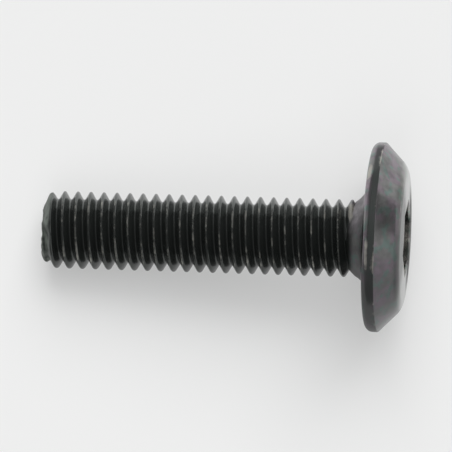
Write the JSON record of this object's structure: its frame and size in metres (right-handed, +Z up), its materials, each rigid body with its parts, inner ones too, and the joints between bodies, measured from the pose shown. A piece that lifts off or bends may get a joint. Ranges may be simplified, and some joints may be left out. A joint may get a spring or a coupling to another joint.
{
  "type": "hex socket machine screw",
  "caption": "Black steel machine screw with a low, wide, chamfered head, a hexagonal socket, a short filleted neck and a full-length rolled thread with a chamfered tip, lying at rest.",
  "frame": {"origin": "on the resting surface, below the middle of the box that the lying screw fills", "axes": "+X from the tip towards the head, +Y across, +Z up; the screw's own axis rises 9.9 degrees towards the head"},
  "size_m": [0.0282, 0.0144, 0.0143],
  "materials": {
    "black_steel": "black oxide with a thin oil film, satin, brighter along the crests and edges"
  },
  "bodies": {
    "root": {"screw": "black_steel"}
  },
  "joints": []
}
